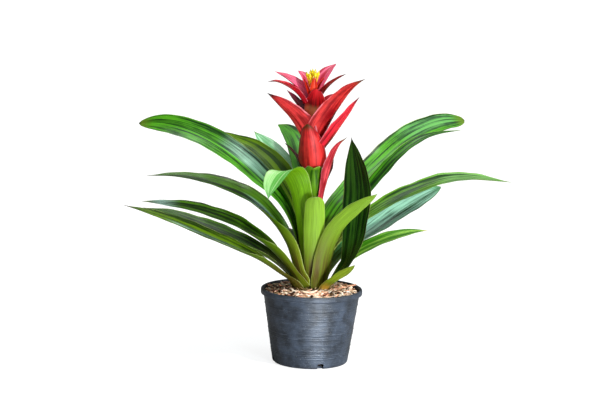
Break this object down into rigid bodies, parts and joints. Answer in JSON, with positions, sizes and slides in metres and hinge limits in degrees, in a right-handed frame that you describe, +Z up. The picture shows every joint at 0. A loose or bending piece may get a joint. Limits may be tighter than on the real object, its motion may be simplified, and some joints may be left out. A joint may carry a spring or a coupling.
{
  "type": "potted guzmania",
  "caption": "Flowering bromeliad with arching strap leaves and a red bract head, standing in a tapered nursery pot topped with coconut husk.",
  "frame": {"origin": "middle of the pot's underside, on the surface the pot stands on", "axes": "+Z up along the pot's axis, +X to the plant's right seen from its front, -Y to the front"},
  "size_m": [0.5607, 0.3568, 0.439],
  "materials": {
    "pot_plastic": "satin",
    "mix_brown": "matte",
    "husk_tan": "matte",
    "stem_green": "satin",
    "leaf_dark": "satin",
    "leaf_green": "satin",
    "leaf_light": "satin",
    "bract_red": "satin",
    "bract_pink": "satin",
    "bract_dark": "satin",
    "flower_yellow": "satin"
  },
  "bodies": {
    "root": {"pot": "pot_plastic", "potting_mix": "mix_brown", "husk_mulch": "husk_tan", "flower_stem": "stem_green", "leaf_left_lowest": "leaf_dark", "leaf_front_right_short": "leaf_green", "leaf_back_lowest": "leaf_dark", "leaf_left_low_rear": "leaf_dark", "leaf_right_lowest": "leaf_green", "leaf_right_upright": "leaf_dark", "leaf_back_right_low": "leaf_dark", "leaf_left_low_front": "leaf_dark", "leaf_right_low": "leaf_dark", "leaf_front_right_sweeping": "leaf_light", "leaf_back_middle": "leaf_dark", "leaf_left_middle": "leaf_green", "leaf_back_high": "leaf_green", "leaf_right_long": "leaf_green", "leaf_front_middle": "leaf_light", "leaf_left_high_rear": "leaf_green", "leaf_right_high_front": "leaf_green", "leaf_left_high": "leaf_green", "leaf_front_left_folded": "leaf_light", "leaf_back_right_middle": "leaf_green", "leaf_right_high": "leaf_green", "leaf_back_left_pale": "leaf_light", "leaf_back_left_high": "leaf_dark", "bract_green_front": "leaf_light", "bract_right_lower": "bract_red", "bract_left_lower": "bract_dark", "bract_right_rear_lower": "bract_dark", "bract_back_lower": "bract_dark", "bract_front_large": "bract_red", "bract_right_long_lower": "bract_red", "bract_back_left_lower": "bract_red", "bract_back_right_lower": "bract_red", "bract_left_keeled": "bract_red", "bract_right_long_upper": "bract_red", "bract_back_middle": "bract_red", "bract_left_shaded": "bract_dark", "bract_right_rear_upper": "bract_red", "bract_front_upper": "bract_red", "bract_left_flat": "bract_red", "bract_right_top": "bract_red", "bract_back_left_pink": "bract_pink", "bract_back_right_pink": "bract_pink", "bract_top_left_pink": "bract_pink", "bract_inner_front": "bract_red", "bract_inner_left": "bract_red", "bract_inner_right": "bract_red", "flower_middle": "flower_yellow", "flower_front_left": "flower_yellow", "flower_front_right": "flower_yellow", "flower_right": "flower_yellow", "flower_back_right": "flower_yellow", "flower_back_left": "flower_yellow", "flower_left": "flower_yellow"}
  },
  "joints": []
}
